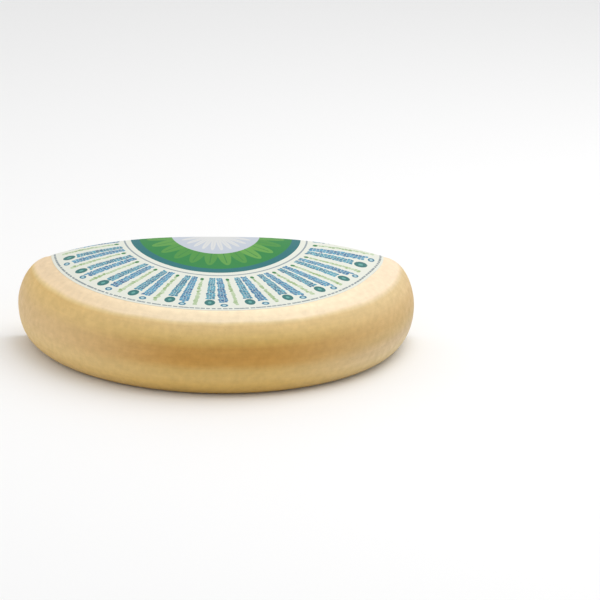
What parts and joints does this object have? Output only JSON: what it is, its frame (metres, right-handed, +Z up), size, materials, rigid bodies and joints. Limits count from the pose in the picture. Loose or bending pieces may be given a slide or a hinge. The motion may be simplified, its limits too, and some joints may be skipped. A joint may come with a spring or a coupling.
{
  "type": "emmental cheese half wheel",
  "caption": "Half of a large hard cheese wheel, cut straight through the middle, with a domed rind, a thin printed paper label on top and open gas holes in the flat cut face.",
  "frame": {"origin": "centre of the bounding box at floor level, on the flat underside", "axes": "+Z up; +X along the straight cut; the flat cut face looks to +Y and the round rind to -Y"},
  "size_m": [0.84, 0.3864, 0.2198],
  "materials": {
    "cheese": "smooth satin rind, slightly moist cut paste",
    "label_paper": "printed, lightly waxed paper"
  },
  "bodies": {
    "root": {"cheese": "cheese", "label": "label_paper"}
  },
  "joints": []
}
